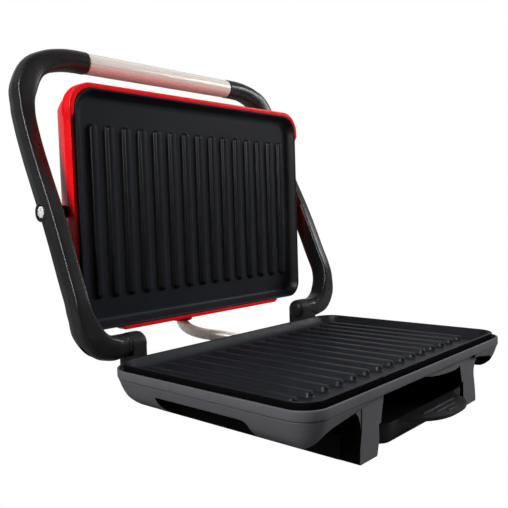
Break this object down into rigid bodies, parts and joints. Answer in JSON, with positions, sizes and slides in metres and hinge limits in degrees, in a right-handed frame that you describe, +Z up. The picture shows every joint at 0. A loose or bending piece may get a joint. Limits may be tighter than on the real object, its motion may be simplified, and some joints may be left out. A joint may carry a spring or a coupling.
{
  "type": "panini press",
  "caption": "Open contact grill with ribbed upper and lower plates, floating red lid carried by two black arms with a tubular handle, front legs and a pull-out drip tray",
  "frame": {"origin": "on the resting surface, in the middle of the press's footprint with the lid open", "axes": "+X to the user's right along the hinge line, +Y from the user toward the hinge side at the back, +Z up"},
  "size_m": [0.2894, 0.2793, 0.2749],
  "materials": {
    "base_plastic": "fine matt graphite moulding",
    "nonstick_plate": "dark satin nonstick coating on cast aluminium",
    "heater_sheath": "heat-darkened sheath",
    "reflector_sheet": "plain bright sheet",
    "ceramic_insulator": "off-white ceramic-like insulator",
    "steel_hardware": "plain steel",
    "chrome_screw": "bright plated",
    "rubber_foot": "soft matt rubber",
    "black_plastic": "satin black moulding",
    "tray_plastic": "satin black moulding",
    "arm_plastic": "glossy black moulding",
    "handle_metal": "brushed warm silver",
    "red_lid": "glossy red moulding"
  },
  "bodies": {
    "base": {"base_rim_frame": "base_plastic", "base_housing": "base_plastic", "lower_grill_plate": "nonstick_plate", "lower_heating_element": "heater_sheath", "lower_reflector": "reflector_sheet", "lower_thermostat": "ceramic_insulator", "thermal_fuse": "steel_hardware", "terminal_block": "ceramic_insulator", "hinge_bracket_left": "black_plastic", "hinge_bracket_right": "black_plastic", "hinge_pin_left": "steel_hardware", "hinge_pin_right": "steel_hardware", "foot_front_left": "rubber_foot", "foot_front_right": "rubber_foot", "foot_rear_left": "rubber_foot", "foot_rear_right": "rubber_foot", "cord_inlet_grommet": "black_plastic", "conduit": "handle_metal", "conduit_ferrule_base": "steel_hardware", "base_screw_front_left": "steel_hardware", "base_screw_front_right": "steel_hardware", "base_screw_rear_left": "steel_hardware", "base_screw_rear_right": "steel_hardware"},
    "arms": {"arm_left": "arm_plastic", "arm_right": "arm_plastic", "handle_tube": "handle_metal", "lid_pivot_screw_left": "chrome_screw", "lid_pivot_screw_right": "chrome_screw"},
    "lid": {"lid_housing": "red_lid", "upper_grill_plate": "nonstick_plate", "upper_heating_element": "heater_sheath", "upper_reflector": "reflector_sheet", "upper_thermostat": "ceramic_insulator", "lid_pivot_bush_left": "black_plastic", "lid_pivot_bush_right": "black_plastic", "conduit_ferrule_lid": "steel_hardware"},
    "tray": {"drip_tray": "tray_plastic"}
  },
  "joints": [
    {"name": "arm_hinge", "type": "hinge", "parent": "base", "child": "arms", "pos_m": [0, 0.0596, 0.0532], "axis": [1, 0, 0], "range_deg": [0, 105.78], "deforming": ["conduit"]},
    {"name": "lid_tilt", "type": "hinge", "parent": "arms", "child": "lid", "pos_m": [0, 0.0953, 0.1486], "axis": [1, 0, 0], "range_deg": [-15.83, 0]},
    {"name": "drip_tray_slide", "type": "slide", "parent": "base", "child": "tray", "axis": [0, -1, 0], "range_m": [0, 0.11]}
  ],
  "couplings": [
    {"joint": "lid_tilt", "follows": "arm_hinge", "ratio": -0.14923}
  ]
}
